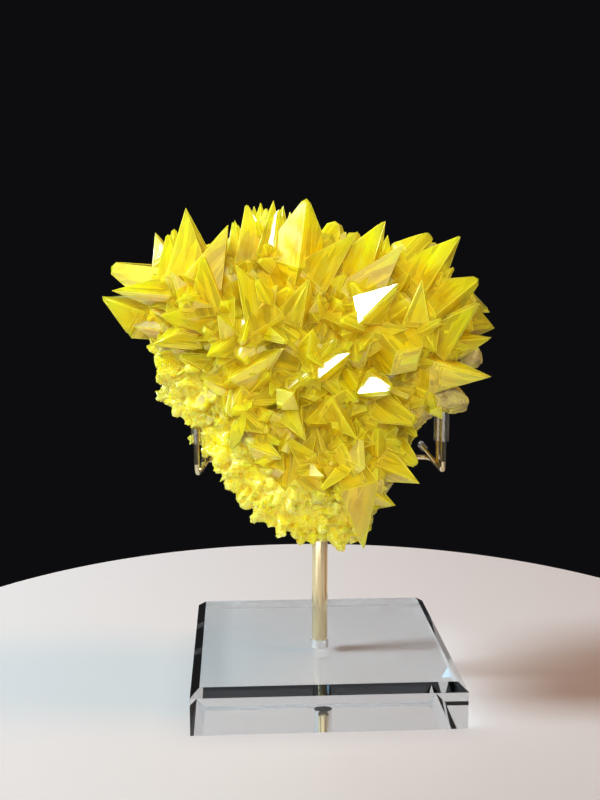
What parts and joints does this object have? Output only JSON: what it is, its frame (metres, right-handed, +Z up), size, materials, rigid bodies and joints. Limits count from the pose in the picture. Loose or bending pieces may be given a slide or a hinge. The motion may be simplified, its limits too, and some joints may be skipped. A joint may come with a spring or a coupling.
{
  "type": "mineral specimen on display stand",
  "caption": "Cluster of yellow native sulfur crystals held on a clear acrylic base by a brass post and sleeved wire cradles.",
  "frame": {"origin": "centre of the acrylic base's underside, on the surface the stand rests on", "axes": "+Z up along the post, +X to the right of the front view, -Y towards the front"},
  "size_m": [0.1163, 0.0762, 0.1441],
  "materials": {
    "sulfur": "translucent, with bright resinous facets",
    "clear_acrylic": "polished, with a ground hole wall",
    "post_brass": "polished",
    "arm_brass": "polished",
    "clear_vinyl": "clear, slightly dull"
  },
  "bodies": {
    "root": {"sulfur_cluster": "sulfur", "acrylic_base": "clear_acrylic", "brass_post": "post_brass", "left_arm": "arm_brass", "right_arm": "arm_brass", "left_front_sleeve": "clear_vinyl", "left_rear_sleeve": "clear_vinyl", "right_front_sleeve": "clear_vinyl", "right_rear_sleeve": "clear_vinyl", "right_prong_cap": "clear_vinyl"}
  },
  "joints": []
}
